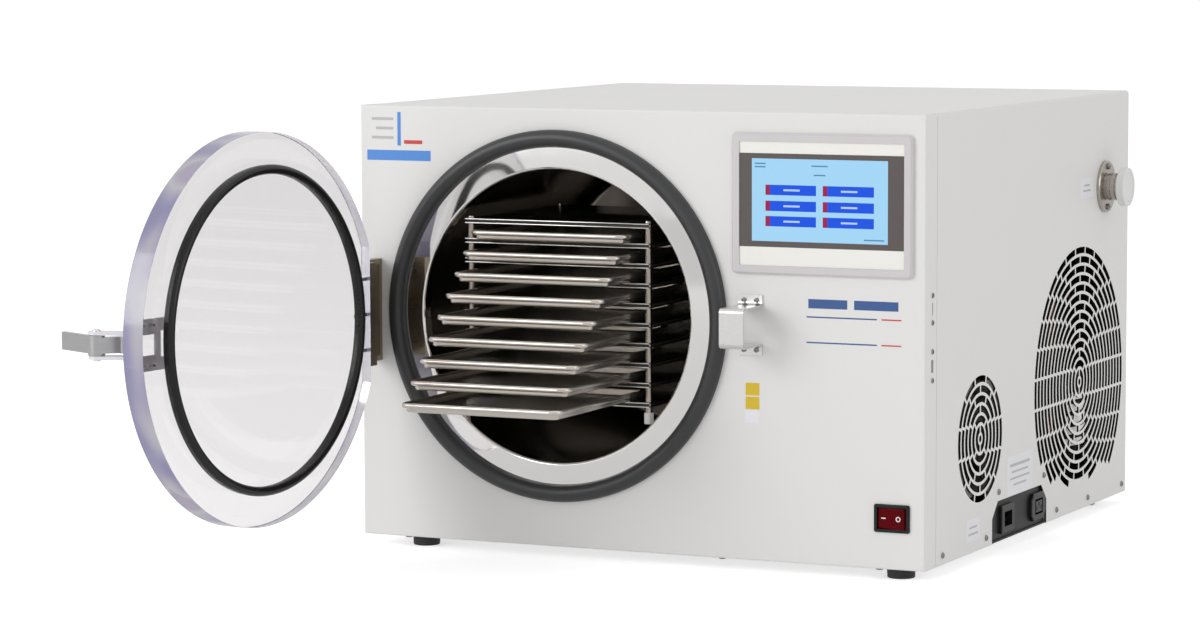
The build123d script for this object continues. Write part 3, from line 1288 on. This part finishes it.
HOSE_RADIUS = 9.0
HOSE_BEND = 30.0
COPPER_RADIUS = 4.0
COPPER_BEND = 15.0
HOSE_X = 306.0
HOSE_TOP = 150.0
HOSE_LOW = 50.0
HOSE_STEP = 55.0
HOSE_SIDE = 50.0
COPPER_HEIGHT = 235.0
COPPER_START = 80.0
COPPER_STEP = 33.0
COPPER_SIDE = 20.0
COPPER_X = COMPRESSOR_SPOT[0] + COMPRESSOR_RADIUS + 8.0
hose_end = COMPRESSOR_SPOT[0] + (COMPRESSOR_RADIUS**2 - (HOSE_SIDE - HOSE_RADIUS) ** 2) ** 0.5 + LAP
compressor_front = COMPRESSOR_SPOT[1] - COMPRESSOR_RADIUS

suction_hose = swept_tube(
    route(
        (CHAMBER_X + header_spot[0], CHAMBER_DEPTH + 4.0, CHAMBER_Z + header_spot[1]),
        (CHAMBER_X + header_spot[0], CHAMBER_DEPTH + HOSE_STEP, CHAMBER_Z + header_spot[1]),
        (HOSE_X, CHAMBER_DEPTH + HOSE_STEP, HOSE_TOP),
        (HOSE_X, COMPRESSOR_SPOT[1] + HOSE_SIDE, HOSE_TOP),
        (HOSE_X, COMPRESSOR_SPOT[1] + HOSE_SIDE, HOSE_LOW),
        (hose_end, COMPRESSOR_SPOT[1] + HOSE_SIDE, HOSE_LOW),
    ),
    HOSE_BEND,
    HOSE_RADIUS,
)
finish(suction_hose, "suction_hose")

condenser_middle = CONDENSER_FRONT + CONDENSER_THICKNESS / 2
discharge_pipe = swept_tube(
    route(
        (COMPRESSOR_SPOT[0], compressor_front, COPPER_START),
        (COMPRESSOR_SPOT[0], compressor_front - COPPER_STEP, COPPER_START),
        (COPPER_X, compressor_front - COPPER_STEP, COPPER_START),
        (COPPER_X, COMPRESSOR_SPOT[1] + COPPER_SIDE, COPPER_START),
        (COPPER_X, COMPRESSOR_SPOT[1] + COPPER_SIDE, COPPER_HEIGHT),
        (COPPER_X, condenser_middle, COPPER_HEIGHT),
        (REAR_GRILLE[0] + CONDENSER_WIDTH / 2, condenser_middle, COPPER_HEIGHT),
    ),
    COPPER_BEND,
    COPPER_RADIUS,
)
finish(discharge_pipe, "discharge_pipe")

PIPE_RADIUS = 12.4
PIPE_BEND = 50.0
vacuum_pipe = swept_tube(
    route(
        (CHAMBER_X + PIPE_OFFSET[0], CHAMBER_DEPTH - SHELL_WALL, PORT_AT[1]),
        (CHAMBER_X + PIPE_OFFSET[0], PORT_AT[0], PORT_AT[1]),
        (RIGHT - 2.0, PORT_AT[0], PORT_AT[1]),
    ),
    PIPE_BEND,
    PIPE_RADIUS,
)
pipe_bore = swept_tube(
    route(
        (CHAMBER_X + PIPE_OFFSET[0], CHAMBER_DEPTH - SHELL_WALL, PORT_AT[1]),
        (CHAMBER_X + PIPE_OFFSET[0], PORT_AT[0], PORT_AT[1]),
        (RIGHT - 2.0, PORT_AT[0], PORT_AT[1]),
    ),
    PIPE_BEND,
    PIPE_RADIUS - 1.5,
)
with BuildPart() as vacuum_line:
    add(vacuum_pipe)
    add(pipe_bore, mode=Mode.SUBTRACT)
finish(vacuum_line.part, "vacuum_line")

# ---------------------------------------------------------------- electronics
SUPPLY = (180.0, 160.0)
SUPPLY_SIZE = (110.0, 200.0, 84.0)
BOARD_SIZE = (96.0, 150.0, 1.6)
BOARD_POST = 8.0
CHIP_PITCH = (44.0, 48.0)
CHIP_SIZE = (26.0, 20.0)
CHIP_HEIGHT = 14.0

with BuildPart() as power_supply:
    with Locations((SUPPLY[0], FRONT + SUPPLY[1], FLOOR)):
        Box(*SUPPLY_SIZE, align=(Align.CENTER, Align.CENTER, Align.MIN))
    fillet(power_supply.edges().filter_by(Axis.Z), 2.0)
finish(power_supply.part, "power_supply")

with BuildPart() as control_board:
    with BuildSketch(Plane.XY.offset(FLOOR + SUPPLY_SIZE[2])):
        with Locations((SUPPLY[0], FRONT + SUPPLY[1])):
            with GridLocations(BOARD_SIZE[0] - 10, BOARD_SIZE[1] - 10, 2, 2):
                Circle(3.0)
    extrude(amount=BOARD_POST)
    with Locations((SUPPLY[0], FRONT + SUPPLY[1], FLOOR + SUPPLY_SIZE[2] + BOARD_POST)):
        Box(*BOARD_SIZE, align=(Align.CENTER, Align.CENTER, Align.MIN))
    with BuildSketch(Plane.XY.offset(FLOOR + SUPPLY_SIZE[2] + BOARD_POST + BOARD_SIZE[2])):
        with Locations((SUPPLY[0], FRONT + SUPPLY[1])):
            with GridLocations(*CHIP_PITCH, 2, 3):
                Rectangle(*CHIP_SIZE)
    extrude(amount=CHIP_HEIGHT)
finish(control_board.part, "control_board")
